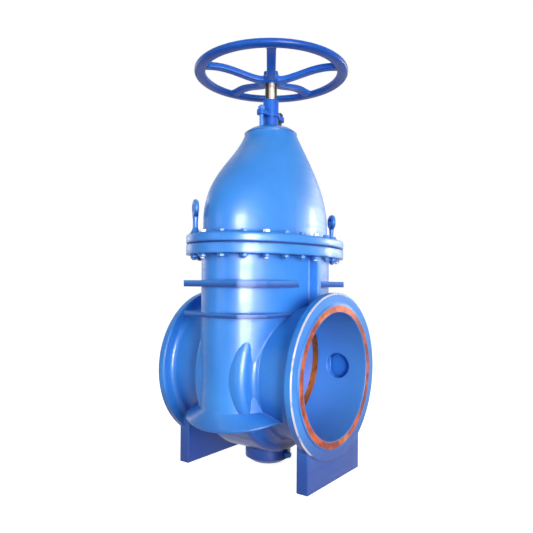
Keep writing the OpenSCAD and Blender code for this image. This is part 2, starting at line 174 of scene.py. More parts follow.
class Graph:
    """The node tree of one material or world."""

    def __init__(self, owner: bpy.types.Material | bpy.types.World) -> None:
        """Start with an empty node tree."""
        self.owner = owner
        owner.use_nodes = True
        self.tree = owner.node_tree
        self.tree.nodes.clear()

    @classmethod
    def material(cls, name: str) -> Graph:
        """Start the tree of a new material."""
        return cls(bpy.data.materials.new(name))

    def node(self, kind: str, settings: dict[str, Any] | None = None,
             inputs: dict[Any, Any] | None = None, output: str | int = 0) -> Sock | None:
        """Add one node.

        Args:
            kind: The node's type.
            settings: Its own settings, set first.
            inputs: Values or links for its sockets, by name or number.
            output: The output to hand back.

        Returns:
            The chosen output socket, or nothing from a node without outputs.
        """
        node = self.tree.nodes.new(kind)
        for key, value in (settings or {}).items():
            setattr(node, key, value)
        for key, value in (inputs or {}).items():
            if isinstance(value, Sock):
                self.tree.links.new(value.socket, node.inputs[key])
            elif isinstance(value, tuple) and len(value) == 3 and node.inputs[key].type == "RGBA":
                node.inputs[key].default_value = (*value, 1.0)
            else:
                node.inputs[key].default_value = value
        return Sock(self, node.outputs[output]) if node.outputs else None

    def place(self) -> Sock:
        """Place on the object, in metres."""
        return self.node("ShaderNodeTexCoord", output="Object")

    def axes(self, vector: Sock) -> tuple[Sock, Sock, Sock]:
        """Split a vector into its three parts."""
        return tuple(self.node("ShaderNodeSeparateXYZ", None, {0: vector}, axis) for axis in "XYZ")

    def stretched(self, place: Sock, scale: tuple[float, float, float]) -> Sock:
        """Place with its own scale along each axis."""
        return self.node("ShaderNodeMapping", None, {"Vector": place, "Scale": scale})

    def noise(self, place: Sock, scale: float, detail: float = 3.0, roughness: float = 0.5) -> Sock:
        """Cloudy noise between 0 and 1.

        Args:
            place: Where the noise is read.
            scale: Features for each metre.
            detail: Number of finer layers.
            roughness: Weight of the finer layers.

        Returns:
            The noise value.
        """
        return self.node("ShaderNodeTexNoise", None, {
            "Vector": place, "Scale": scale, "Detail": detail, "Roughness": roughness})

    def blend(self, share: Sock | Number, low: Any, high: Any) -> Sock:
        """Mix two colours.

        Args:
            share: 0 gives low and 1 gives high.
            low: First colour.
            high: Second colour.

        Returns:
            The mixed colour.
        """
        return self.node("ShaderNodeMix", {"data_type": "RGBA"}, {0: share, 6: low, 7: high}, 2)

    def facing(self) -> Sock:
        """True direction of the surface."""
        return self.node("ShaderNodeNewGeometry", output="Normal")

    def rounded(self, radius: float) -> Sock:
        """Surface direction with edges eased over a radius."""
        return self.node("ShaderNodeBevel", {"samples": 6}, {"Radius": radius})

    def edges(self, eased: Sock) -> Sock:
        """Share of 1 on edges and 0 on open faces, from an eased surface direction."""
        along = self.node("ShaderNodeVectorMath", {"operation": "DOT_PRODUCT"},
                          {0: eased, 1: self.facing()}, "Value")
        return 1 - along

    def hollow(self, reach: float) -> Sock:
        """Share of 1 deep in corners and 0 in the open."""
        return 1 - self.node("ShaderNodeAmbientOcclusion", {"samples": 6}, {"Distance": reach}, "AO")

    def bump(self, height: Sock, strength: float, distance: float, normal: Sock | None = None) -> Sock:
        """Relief on the surface.

        Args:
            height: Height share.
            strength: How much of it shows.
            distance: Height in metres at a share of 1.
            normal: Surface direction under the relief.

        Returns:
            The surface direction.
        """
        inputs: dict[str, Any] = {"Height": height, "Strength": strength, "Distance": distance}
        if normal is not None:
            inputs["Normal"] = normal
        return self.node("ShaderNodeBump", None, inputs)

    def seen(self) -> Sock:
        """1 for rays from the camera and for mirrored and clear rays, 0 for light that scatters."""
        path = {name: self.node("ShaderNodeLightPath", output=f"Is {name} Ray")
                for name in ("Camera", "Glossy", "Transmission")}
        return path["Camera"].most(path["Glossy"]).most(path["Transmission"])

    def finish(self, **sockets: Any) -> bpy.types.Material:
        """Close a material's tree with a principled shader.

        Args:
            sockets: Values or links, with _ for a space in a socket's name.

        Returns:
            The finished material.
        """
        inputs = {key.replace("_", " "): value for key, value in sockets.items()}
        shader = self.node("ShaderNodeBsdfPrincipled", None, inputs)
        self.node("ShaderNodeOutputMaterial", None, {"Surface": shader})
        return self.owner


@dataclass(frozen=True)
class Enamel:
    """Enamel paint over a sand casting."""

    name: str
    colour: Colour
    light: Colour
    deep: Colour
    edge_radius: float = 0.014
    grain: float = 0.6
    gloss: float = 0.32
    coat: float = 0.12
    sheen: float = 0.32
    # Share of painted shade on faces that point down.
    shade: float = 0.8
    coat_rough: float = 0.16

    def layers(self, graph: Graph, place: Sock) -> dict[str, Sock]:
        """Paint colour, roughness and surface direction.

        Args:
            graph: The material's graph.
            place: Place on the object.

        Returns:
            The three layers by name.
        """
        cloud = graph.noise(place, 2.2, 4, 0.55)
        lump = graph.noise(place, 8, 2, 0.45)
        speck = graph.noise(place, 46, 3, 0.6)
        peel = graph.noise(place, 240, 2, 0.5)
        run = graph.noise(graph.stretched(place, (34, 34, 2.5)), 1, 3, 0.55)
        brush = graph.noise(graph.stretched(place, (3.5, 3.5, 60)), 1, 4, 0.6)
        _, _, upward = graph.axes(graph.facing())
        eased = graph.rounded(self.edge_radius)
        tone = graph.blend(cloud.ramp(0.3, 0.7), self.colour, self.light)
        tone = graph.blend(speck.ramp(0.62, 0.86) * 0.16, tone, self.deep)
        tone = graph.blend(run.ramp(0.55, 0.8) * 0.10, tone, self.deep)
        # Painted shade: ambient occlusion darkens the paint towards the deep tone in corners and creases.
        tone = graph.blend(graph.hollow(0.07).ramp(0.15, 0.8) * 0.30, tone, self.deep)
        # Painted shade: faces that point down are darkened towards the deep tone.
        tone = graph.blend((1 - upward.ramp(-0.8, 0.05)) * self.shade, tone, self.deep)
        settled = upward.ramp(0.8, 0.98) * cloud.ramp(0.35, 0.75)
        tone = graph.blend(settled * 0.12, tone, Tone.DUST_AND_HIGHLIGHT)
        # Edge wear and painted highlight: eased edges are lightened towards the pale tone.
        wear_and_highlight = graph.edges(eased).ramp(0.03, 0.4)
        tone = graph.blend(wear_and_highlight * 0.12, tone, Tone.DUST_AND_HIGHLIGHT)
        rough = self.gloss + speck.ramp(0.35, 0.8) * 0.08 + brush.ramp(0.35, 0.65) * 0.12 + settled * 0.15
        relief = lump * 0.8 + speck * 0.22 + peel * 0.06
        normal = graph.bump(relief, self.grain, 0.001, eased)
        return {"colour": tone, "rough": rough, "normal": normal}

    def material(self) -> bpy.types.Material:
        """The paint as a material."""
        graph = Graph.material(self.name)
        layers = self.layers(graph, graph.place())
        return graph.finish(Base_Color=layers["colour"], Roughness=layers["rough"], Normal=layers["normal"],
                            Coat_Weight=self.coat, Coat_Roughness=self.coat_rough,
                            Specular_IOR_Level=self.sheen)


@dataclass(frozen=True)
class BodyFinish:
    """Enamel paint all over the body, but for the bare machined port faces and the flange edges' scuffed
    primer and painted highlight; painted light inside the ports, painted shade low down and under the ribs.
    """

    paint: Enamel
    face_x: float
    face_t: float
    axis_z: float
    inner_r: float
    outer_r: float
    flange_r: float
    ribs: tuple[tuple[float, float], ...]
    chamber: tuple[float, float] = (0.244, 0.432)
    rib_half: float = 0.2405
    # Share of painted shade on the lower part of the ribs' edges.
    rib_shade: float = 0.8
    rib_dull: float = 0.4
    edge: float = 0.004
    # Share of the scuffed primer and painted highlight on the flange edges.
    scuff_and_highlight_share: float = 0.75
    # Base share and noise share of the painted light inside the ports.
    bore_light: tuple[float, float] = (0.40, 0.30)
    # Heights and share of the painted shade low down on the body.
    low_shade_z: tuple[float, float] = (0.08, 0.43)
    low_shade_share: float = 0.85
    shine: float = 0.35

    def material(self) -> bpy.types.Material:
        """The paint and the bare faces as one material."""
        graph = Graph.material("body_enamel_bare_faces")
        place = graph.place()
        layers = self.paint.layers(graph, place)
        x, y, z = graph.axes(place)
        out, rise = abs(x), z - self.axis_z
        radius = (y * y + rise * rise).root()
        wander = (graph.noise(place, 9, 4, 0.6) - 0.5) * 0.012
        streak = graph.noise(place, 13, 5, 0.65)
        blotch = graph.noise(place, 5.5, 3, 0.6)
        front = out.ramp(self.face_x - self.face_t, self.face_x - 0.8 * self.face_t)
        outer = 1 - (radius + wander).ramp(self.outer_r - 0.008, self.outer_r - 0.005)
        inner = (radius + wander).ramp(self.inner_r, self.inner_r + 0.004)
        bare = front * outer * inner
        metal = graph.blend(streak.ramp(0.40, 0.66), Tone.FACE_DARK, Tone.FACE)
        metal = graph.blend(blotch.ramp(0.55, 0.74) * 0.75, metal, Tone.FACE_LIGHT)
        groove = (radius * 2600).sine()
        face_normal = graph.bump(groove * 0.5 + streak * 0.5, 0.5, 0.0006)
        flange_x = self.face_x - self.face_t
        corner = self.flange_r + flange_x
        # Scuffed primer and painted highlight: a pale line round the near side of each port flange's front
        # edge.
        scuff_and_highlight = (radius + out).ramp(corner - 2.2 * self.edge, corner - 1.5 * self.edge)
        scuff_and_highlight = scuff_and_highlight * out.ramp(flange_x - 1.3 * self.edge, flange_x - 1.2 * self.edge)
        scuff_and_highlight = scuff_and_highlight * (1 - radius.ramp(self.flange_r + 0.001, self.flange_r + 0.002))
        scuff_and_highlight = scuff_and_highlight * (1 - y.ramp(0.02, 0.12)) * (rise + wander).ramp(-0.325, -0.305)
        scuff_and_highlight = scuff_and_highlight * streak.ramp(0.30, 0.48)
        primer_and_highlight = graph.blend(blotch.ramp(0.56, 0.68), Tone.PRIMER_AND_HIGHLIGHT, Tone.FACE)
        # Painted light: inside the ports the paint is lightened towards a paler blue, as if lit.
        bore_lit = 1 - radius.ramp(self.inner_r + 0.0005, self.inner_r + 0.002)
        bore_lit = bore_lit * (self.bore_light[0] + self.bore_light[1] * blotch)
        # Painted shade: the paint darkens towards the deep tone low down, near the floor.
        low_shade = (1 - (z + wander * 3).ramp(*self.low_shade_z)) * self.low_shade_share
        tone = graph.blend(low_shade, layers["colour"], self.paint.deep)
        long, wide = x * (1 / self.chamber[0]), y * (1 / self.chamber[1])
        on_rib = (long * long + wide * wide).ramp(1.01, 1.02)
        on_rib = on_rib * (1 - out.ramp(self.rib_half, self.rib_half + 0.001))
        rib_rough = 0.0
        for low, high in self.ribs:
            band = on_rib * z.ramp(low - 0.001, low) * (1 - z.ramp(high, high + 0.001))
            # Painted shade: the lower part of each rib's edge is darkened towards the deep tone.
            shade = band * (1 - z.ramp(low + 0.006, high)) * self.rib_shade
            tone = graph.blend(shade, tone, self.paint.deep)
            rib_rough = band * self.rib_dull + rib_rough
        tone = graph.blend(bore_lit, tone, Tone.BORE_PAINTED_LIGHT)
        tone = graph.blend(scuff_and_highlight * self.scuff_and_highlight_share, tone, primer_and_highlight)
        tone = graph.blend(bare, tone, metal)
        rough = (layers["rough"] + rib_rough) * (1 - bare) + bare * (0.32 + 0.2 * streak)
        mixed = graph.node("ShaderNodeMix", {"data_type": "VECTOR"},
                           {0: bare, 4: layers["normal"], 5: face_normal}, 1)
        normal = graph.node("ShaderNodeVectorMath", {"operation": "NORMALIZE"}, {0: mixed})
        return graph.finish(Base_Color=tone, Roughness=rough, Normal=normal, Metallic=bare * self.shine,
                            Coat_Weight=self.paint.coat * (1 - bare), Coat_Roughness=self.paint.coat_rough,
                            Specular_IOR_Level=self.paint.sheen)


@dataclass(frozen=True)
class WheelFinish:
    """Enamel paint on the wheel and gland, with painted shade round the rim, most on its undersides, and
    the rim a little glossier.
    """

    paint: Enamel
    rim_mask_r: float = 0.322
    rim_shade_share: float = 0.34
    polish: float = 0.06

    def material(self) -> bpy.types.Material:
        """The paint and the rim's painted shade as one material."""
        graph = Graph.material("wheel_enamel_rim_shade")
        place = graph.place()
        layers = self.paint.layers(graph, place)
        x, y, _ = graph.axes(place)
        shade_breakup = graph.noise(place, 6, 4, 0.6)
        _, _, upward = graph.axes(graph.facing())
        # Painted shade: the rim is darkened towards the deep tone, most on faces that point down, broken up
        # by noise.
        on_rim = (x * x + y * y).root().ramp(self.rim_mask_r, self.rim_mask_r + 0.012)
        dark = on_rim * (0.55 + 0.45 * shade_breakup.ramp(0.35, 0.65)) * (1 - upward.ramp(-0.1, 0.7) * 0.6)
        tone = graph.blend(dark * self.rim_shade_share, layers["colour"], self.paint.deep)
        rough = layers["rough"] - on_rim * self.polish
        return graph.finish(Base_Color=tone, Roughness=rough, Normal=layers["normal"],
                            Coat_Weight=self.paint.coat, Coat_Roughness=self.paint.coat_rough,
                            Specular_IOR_Level=self.paint.sheen)


@dataclass(frozen=True)
class TurnedMetal:
    """Turned metal with fine tool marks and stains, and, where asked, painted shade down both sides."""

    name: str
    colour: Colour
    stain: Colour
    roughness: float
    marks: float = 900.0
    shaded_sides: bool = False
    view_across: tuple[float, float] = (0.81, 0.59)

    def material(self) -> bpy.types.Material:
        """The metal as a material."""
        graph = Graph.material(self.name)
        place = graph.place()
        x, y, z = graph.axes(place)
        cloud = graph.noise(place, 28, 4, 0.6)
        tone = graph.blend(cloud.ramp(0.42, 0.72) * 0.7, self.colour, self.stain)
        if self.shaded_sides:
            # Painted shade: a dark strip down each side of the stem, at its edges as seen across the view.
            side = self.view_across[0] * x + self.view_across[1] * y + cloud * 0.008
            side_shade = (1 - side.ramp(-0.009, -0.003)).most(side.ramp(0.021, 0.025))
            tone = graph.blend(side_shade * 0.9, tone, Tone.SIDE_SHADE)
        rough = self.roughness + cloud * 0.18
        normal = graph.bump((z * self.marks).sine() * 0.4 + cloud * 0.6, 0.25, 0.0004, graph.rounded(0.002))
        return graph.finish(Base_Color=tone, Roughness=rough, Normal=normal, Metallic=0.95)


@dataclass(frozen=True)
class GlandBolting:
    """Gland bolts: the near one painted with the valve, the far one black, which also stands in for the
    shade it sits in.
    """

    paint: Enamel

    def material(self) -> bpy.types.Material:
        """Both bolts' finish as one material."""
        graph = Graph.material("gland_bolting")
        place = graph.place()
        layers = self.paint.layers(graph, place)
        _, y, _ = graph.axes(place)
        # The far bolt is black: dark metal, and painted shade behind the gland.
        black = y.ramp(-0.001, 0.001)
        tone = graph.blend(black, layers["colour"], Tone.BLACK)
        return graph.finish(Base_Color=tone, Roughness=layers["rough"], Normal=layers["normal"],
                            Metallic=black * 0.4)


@dataclass(frozen=True)
class PaintedSeam:
    """Edge of the joint gasket, painted over with the valve."""

    colour: Colour
    deep: Colour

    def material(self) -> bpy.types.Material:
        """The painted fibre as a material."""
        graph = Graph.material("painted_joint_seam")
        place = graph.place()
        weave = graph.noise(place, 320, 3, 0.7)
        gap = graph.noise(place, 18, 3, 0.6)
        tone = graph.blend(weave * 0.4 + gap.ramp(0.5, 0.75) * 0.5, self.colour, self.deep)
        return graph.finish(Base_Color=tone, Roughness=0.6 + weave * 0.2,
                            Normal=graph.bump(weave, 0.4, 0.0005))


@dataclass(frozen=True)
class PaintedFastener:
    """Bolts and nuts painted with the valve, some with bare zinc ends."""

    paint: Enamel

    def material(self) -> bpy.types.Material:
        """The fasteners' finish as a material."""
        graph = Graph.material("painted_fasteners")
        place = graph.place()
        layers = self.paint.layers(graph, place)
        bare = graph.node("ShaderNodeAttribute", {"attribute_name": BARE_LAYER}, output="Fac")
        chip = graph.noise(place, 70, 3, 0.6).ramp(0.26, 0.42)
        share = bare * chip
        tone = graph.blend(share, layers["colour"], Tone.ZINC)
        return graph.finish(Base_Color=tone, Roughness=layers["rough"], Normal=layers["normal"],
                            Metallic=share * 0.2, Coat_Weight=self.paint.coat,
                            Coat_Roughness=self.paint.coat_rough)


def placed(name: str, data: bpy.types.ID) -> bpy.types.Object:
    """Put a new object with the given data into the scene."""
    item = bpy.data.objects.new(name, data)
    bpy.context.scene.collection.objects.link(item)
    return item


class Mesh:
    """A mesh that is built from rings of points."""

    def __init__(self, name: str) -> None:
        """Start an empty mesh."""
        self.name = name
        self.work = bmesh.new()
        self.layer = self.work.verts.layers.float.new(BARE_LAYER)

    def _rows(self, rings: Sequence[Sequence[Vector]], bare: float = 0.0) -> list[list[bmesh.types.BMVert]]:
        """Add the points of some rings, and hand them back ring by ring."""
        rows = [[self.work.verts.new(point) for point in ring] for ring in rings]
        for vert in (vert for row in rows for vert in row):
            vert[self.layer] = bare
        return rows

    def _skin(self, low: Sequence[bmesh.types.BMVert], high: Sequence[bmesh.types.BMVert]) -> None:
        """Join two rings by faces."""
        for i, _ in enumerate(low):
            j = (i + 1) % len(low)
            self.work.faces.new((low[i], low[j], high[j], high[i]))

    def capped(self, rings: Sequence[Sequence[Vector]], bare: float = 0.0) -> None:
        """Add a closed solid through rings of points, with a face at each end.

        Args:
            rings: Rings from one end to the other, each with the same number of points.
            bare: Share of bare metal kept with the solid's points.
        """
        rows = self._rows(rings, bare)
        for low, high in zip(rows, rows[1:]):
            self._skin(low, high)
        self.work.faces.new(list(reversed(rows[0])))
        self.work.faces.new(rows[-1])

    def looped(self, rings: Sequence[Sequence[Vector]]) -> None:
        """Add a ring-shaped solid, whose last ring joins its first.

        Args:
            rings: Rings in order, each with the same number of points.
        """
        rows = self._rows(rings)
        for low, high in zip(rows, rows[1:] + rows[:1]):
            self._skin(low, high)

    def turned(self, profile: Sequence[tuple[float, float]], sides: int, frame: Matrix,
               bare: float = 0.0) -> None:
        """Add a turned or many-sided solid.

        Args:
            profile: Pairs of radius and height.
            sides: Number of sides.
            frame: Where it stands and which way it points.
            bare: Share of bare metal.
        """
        self.capped([[frame @ point for point in oval(r, r, h, sides)] for r, h in profile], bare)

    def finish(self, material: bpy.types.Material, body: Body, slot: str, smooth_deg: float = 30,
               voxel: float = 0.0, passes: int = 0) -> bpy.types.Object:
        """Make the object, shade it and let it ride on a body.

        Args:
            material: Its finish.
            body: The body that it moves with.
            slot: The record's material slot; not used.
            smooth_deg: Edges under this angle are shaded smooth.
            voxel: Grain at which overlapping solids are fused into one, or 0 to leave them.
            passes: Number of times that a fused solid's corners are eased.

        Returns:
            The object.
        """
        bmesh.ops.recalc_face_normals(self.work, faces=self.work.faces)
        for edge in self.work.edges:
            edge.smooth = edge.calc_face_angle(math.pi) < math.radians(smooth_deg)
        for face in self.work.faces:
            face.smooth = True
        data = bpy.data.meshes.new(self.name)
        self.work.to_mesh(data)
        self.work.free()
        piece = placed(self.name, data)
        if voxel:
            self._fuse(piece, voxel, passes)
        piece.data.materials.clear()
        piece.data.materials.append(material)
        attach(piece, body.value)
        LOG.info("%s: %d faces on %s", self.name, len(piece.data.polygons), body.value)
        return piece

    @staticmethod
    def _fuse(piece: bpy.types.Object, voxel: float, passes: int) -> None:
        """Fuse a piece's solids into one eased casting."""
        remesh = piece.modifiers.new("fuse", "REMESH")
        remesh.mode = "VOXEL"
        remesh.voxel_size = voxel
        remesh.use_smooth_shade = True
        ease = piece.modifiers.new("ease", "SMOOTH")
        ease.factor = 0.5
        ease.iterations = passes
        graph = bpy.context.evaluated_depsgraph_get()
        fused = bpy.data.meshes.new_from_object(piece.evaluated_get(graph))
        piece.modifiers.clear()
        piece.data = fused


def squircle(half_a: float, half_b: float, power: float, count: int) -> list[tuple[float, float]]:
    """Points of a rectangle with rounded corners.

    Args:
        half_a: Half its width.
        half_b: Half its height.
        power: 2 gives an oval, and more gives squarer corners.
        count: Number of points.

    Returns:
        Pairs of width and height in order.
    """
    def eased(value: float, half: float) -> float:
        """One part of a point."""
        return math.copysign(abs(value) ** (2 / power), value) * half

    turns = [2 * math.pi * i / count for i in range(count)]
    return [(eased(math.cos(turn), half_a), eased(math.sin(turn), half_b)) for turn in turns]


def oval(half_x: float, half_y: float, z: float, count: int) -> list[Vector]:
    """Points of a level oval.

    Args:
        half_x: Half its size along X.
        half_y: Half its size along Y.
        z: Its height.
        count: Number of points.

    Returns:
        The points in order.
    """
    return [Vector((x, y, z)) for x, y in squircle(half_x, half_y, 2, count)]


def quarter(radius: float, steps: int) -> list[tuple[float, float]]:
    """Points of a quarter round.

    Args:
        radius: Its radius.
        steps: Number of steps.

    Returns:
        Pairs that run from (radius, 0) to (0, radius).
    """
    turns = [math.pi / 2 * i / steps for i in range(steps + 1)]
    return [(radius * math.cos(turn), radius * math.sin(turn)) for turn in turns]


@dataclass
class BonnetCasting:
    """Bell bonnet: oval flange and skirt that draw in to a round collar, hollow for the raised wedge."""

    flange_t: float = 0.044
    flange_edge: float = 0.010
    skirt_h: float = 0.040
    half_len: float = 0.222
    half_wid: float = 0.437
    collar_r: float = 0.131
    lip: float = 0.003
    lip_h: float = 0.008
    lip_edge: float = 0.002
    slope_h: float = 0.028
    top_r: float = 0.097
    counter_r: float = 0.0355
    counter_h: float = 0.032
    hole_r: float = 0.0305
    wall: float = 0.026
    foot_fillet: float = 0.016
    crown_share: float = 0.88
    long_bend: float = 2.8
    wide_bend: float = 2.4
    wide_draw: float = 1.8
    around: int = 144
    rows: int = 44
    edge_steps: int = 5
    fillet_steps: int = 6

    def bell(self, share: float) -> tuple[float, float]:
        """Half length and half width of the bell, by the share of its height above the skirt."""
        long = self.collar_r + (self.half_len - self.collar_r) * (1 - share ** self.long_bend)
        drawn = (1 - share ** self.wide_bend) ** self.wide_draw
        wide = self.collar_r + (self.half_wid - self.collar_r) * drawn
        return long, wide

    def outside(self, low: Vector, high: Vector) -> list[tuple[float, float, float]]:
        """Outside ovals from the joint up to the top.

        Args:
            low: The bonnet's lowest corner.
            high: Its highest corner.

        Returns:
            Half length, half width and height of each oval.
        """
        edge = quarter(self.flange_edge, self.edge_steps)
        flange_top = low.z + self.flange_t
        skirt_top = flange_top + self.skirt_h
        bell_top = high.z - self.slope_h
        inset = self.flange_edge
        rows = [(high.x - inset + b, high.y - inset + b, low.z + inset - a) for a, b in edge]
        rows += [(high.x - inset + a, high.y - inset + a, flange_top - inset + b) for a, b in edge]
        fillet = quarter(self.foot_fillet, self.fillet_steps)
        rows += [(self.half_len + self.foot_fillet - b, self.half_wid + self.foot_fillet - b,
                  flange_top + self.foot_fillet - a) for a, b in fillet]
        for i in range(self.rows + 1):
            share = i / self.rows
            rows.append((*self.bell(share), skirt_top + (bell_top - skirt_top) * share))
        collar, lip_top = self.collar_r + self.lip, bell_top + self.lip_h
        turned = [(collar - 0.0012, bell_top + 0.001), (collar, bell_top + 0.0022),
                  (collar, lip_top - self.lip_edge), (collar - self.lip_edge, lip_top),
                  (self.top_r + 0.006, high.z - 0.0016), (self.top_r - 0.004, high.z)]
        return rows + [(radius, radius, z) for radius, z in turned]

    def inside(self, low: Vector, high: Vector) -> list[tuple[float, float, float]]:
        """Inside ovals from the top down to the joint.

        Args:
            low: The bonnet's lowest corner.
            high: Its highest corner.

        Returns:
            Half length, half width and height of each oval.
        """
        skirt_top = low.z + self.flange_t + self.skirt_h
        bell_h = high.z - self.slope_h - skirt_top
        shelf = high.z - self.counter_h
        crown = skirt_top + bell_h * self.crown_share
        rows = [(self.counter_r, self.counter_r, high.z), (self.counter_r, self.counter_r, shelf),
                (self.hole_r, self.hole_r, shelf), (self.hole_r, self.hole_r, crown)]
        for i in range(self.rows // 2 + 1):
            share = self.crown_share * (1 - i / (self.rows // 2))
            long, wide = self.bell(share)
            rows.append((long - self.wall, wide - self.wall, skirt_top + bell_h * share))
        rows.append((self.half_len - self.wall, self.half_wid - self.wall, low.z))
        return rows

    def build(self, finish: bpy.types.Material) -> None:
        """Build the casting in place of its plain node."""
        low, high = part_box("bonnet")
        mesh = Mesh("bonnet_casting")
        ovals = self.outside(low, high) + self.inside(low, high)
        mesh.looped([oval(x, y, z, self.around) for x, y, z in ovals])
        piece = mesh.finish(finish, Body.VALVE, "blue_paint")
        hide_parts("bonnet")


@dataclass
class DrumShoulder:
    """Round shoulders of the drum, which stand out of the oval chamber on both sides of the wedge."""

    axis_z: float
    drum_r: float = 0.409
    face_x: float = 0.150
    inner_x: float = 0.054
    corner: float = 0.045
    neck_x: float = 0.180
    neck_r: float = 0.325
    core_r: float = 0.316
    low: float = -0.195
    high: float = 0.230
    wall_half_len: float = 0.231
    wall_half_wid: float = 0.419
    sunk: float = 0.002
    levels: int = 64
    steps: int = 10
    turn_steps: int = 8

    def section(self) -> list[tuple[float, float]]:
        """Places along the pipe and radii of the shoulder, from its hidden edge to its face."""
        start = self.face_x - self.corner
        pitch = (start - self.inner_x) / self.steps
        flat = [(self.inner_x + pitch * i, self.drum_r) for i in range(self.steps)]
        top = self.drum_r - self.corner
        turn = [(start + a, top + b) for a, b in quarter(self.corner, self.turn_steps)[::-1]]
        run, drop = self.neck_x - self.face_x, top - self.neck_r
        sweep = [(self.neck_x - run * a, top - drop * b) for a, b in quarter(1.0, self.steps)[1:]]
        return flat + turn + sweep + [(self.neck_x + self.sunk, self.neck_r - self.sunk)]

    def level(self, rise: float, end: int, side: int) -> list[Vector]:
        """One level cut through a shoulder.

        Args:
            rise: Height above the port axis.
            end: 1 for the outlet's shoulder, -1 for the inlet's.
            side: 1 for the far side, -1 for the near side.

        Returns:
            The cut's points, outside first and then back along the middle of the chamber's wall.
        """
        outside, inside = [], []
        for x, radius in self.section():
            wall = self.wall_half_wid * math.sqrt(1 - (x / self.wall_half_len) ** 2)
            wall = max(wall, math.sqrt(self.core_r ** 2 - rise ** 2))
            wide = max(math.sqrt(radius ** 2 - rise ** 2), wall + self.sunk)
            outside.append(Vector((end * x, side * wide, self.axis_z + rise)))
            inside.append(Vector((end * x, side * wall, self.axis_z + rise)))
        return outside + inside[::-1]

    def build(self, finish: bpy.types.Material) -> None:
        """Build the four shoulders over the body's own drum."""
        mesh = Mesh("drum_shoulders")
        pitch = (self.high - self.low) / self.levels
        rises = [self.low + pitch * i for i in range(self.levels + 1)]
        for end, side in ((1, -1), (-1, -1), (1, 1), (-1, 1)):
            mesh.capped([self.level(rise, end, side) for rise in rises])
        mesh.finish(finish, Body.VALVE, "blue_paint")


@dataclass
class HandwheelCasting:
    """Dished handwheel: flat rounded rim, five spokes that climb in an S and a plain hub."""

    rim_wid: float = 0.056
    rim_t: float = 0.034
    spoke_wid: float = 0.044
    spoke_t: float = 0.028
    spoke_count: int = 5
    first_deg: float = -54.0
    hub_r: float = 0.054
    hub_h: float = 0.036
    hole_r: float = 0.024
    dish: float = 0.054
    level_at: float = 0.8
    hump: float = 0.005
    flare: float = 0.012
    flare_in: float = 0.16
    flare_out: float = 0.2
    spoke_root: float = 0.012
    hub_edge: float = 0.005
    rim_power: float = 2.6
    spoke_power: float = 7.0
    rim_points: int = 28
    spoke_points: int = 24
    hub_points: int = 64
    around: int = 180
    steps: int = 40
    voxel: float = 0.0029
    passes: int = 2

    def rim(self, mesh: Mesh, radius: float, level: float) -> None:
        """Add the rim to a mesh."""
        shape = squircle(self.rim_wid / 2, self.rim_t / 2, self.rim_power, self.rim_points)
        mesh.looped([oval(radius + out, radius + out, level + up, self.around) for out, up in shape])

    def spoke(self, mesh: Mesh, radius: float, level: float, bearing: float) -> None:
        """Add one spoke to a mesh.

        Args:
            mesh: The mesh that takes it.
            radius: Radius of the rim's middle.
            level: Height of the rim's middle.
            bearing: The spoke's bearing in radians.
        """
        start = self.hub_r - self.spoke_root
        fall = self.dish - self.hub_h / 2
        along = Vector((math.cos(bearing), math.sin(bearing), 0))
        across = Vector((-along.y, along.x, 0))
        rings = []
        for i in range(self.steps + 1):
            share = i / self.steps
            climb = min(1.0, share / self.level_at)
            height = level + self.hump * math.sin(math.pi * share)
            height -= fall * (1 + math.cos(math.pi * climb)) / 2
            ends = max(0.0, 1 - share / self.flare_in) ** 2
            ends += max(0.0, 1 - (1 - share) / self.flare_out) ** 2
            half_w, half_t = self.spoke_wid / 2 + self.flare * ends, self.spoke_t / 2
            middle = along * (start + (radius - start) * share) + Vector((0, 0, height))
            shape = squircle(half_w, half_t, self.spoke_power, self.spoke_points)
            rings.append([middle + across * side + Vector((0, 0, up)) for side, up in shape])
        mesh.capped(rings)

    def hub(self, mesh: Mesh, foot: float) -> None:
        """Add the bored hub to a mesh."""
        top, edge = foot + self.hub_h, self.hub_edge
        profile = [(self.hole_r, foot), (self.hub_r - edge, foot), (self.hub_r, foot + edge),
                   (self.hub_r, top - edge), (self.hub_r - edge, top), (self.hole_r, top)]
        mesh.looped([oval(r, r, z, self.hub_points) for r, z in profile])

    def build(self, finish: bpy.types.Material) -> None:
        """Build the wheel in place of its plain node."""
        _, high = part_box("handwheel")
        level = high.z - self.rim_t / 2
        radius = high.x - self.rim_wid / 2
        mesh = Mesh("handwheel_casting")
        self.rim(mesh, radius, level)
        self.hub(mesh, level - self.dish)
        for i in range(self.spoke_count):
            self.spoke(mesh, radius, level, math.radians(self.first_deg + 360 * i / self.spoke_count))
        piece = mesh.finish(finish, Body.SPINDLE, "wheel_paint", voxel=self.voxel, passes=self.passes)
        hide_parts("handwheel")


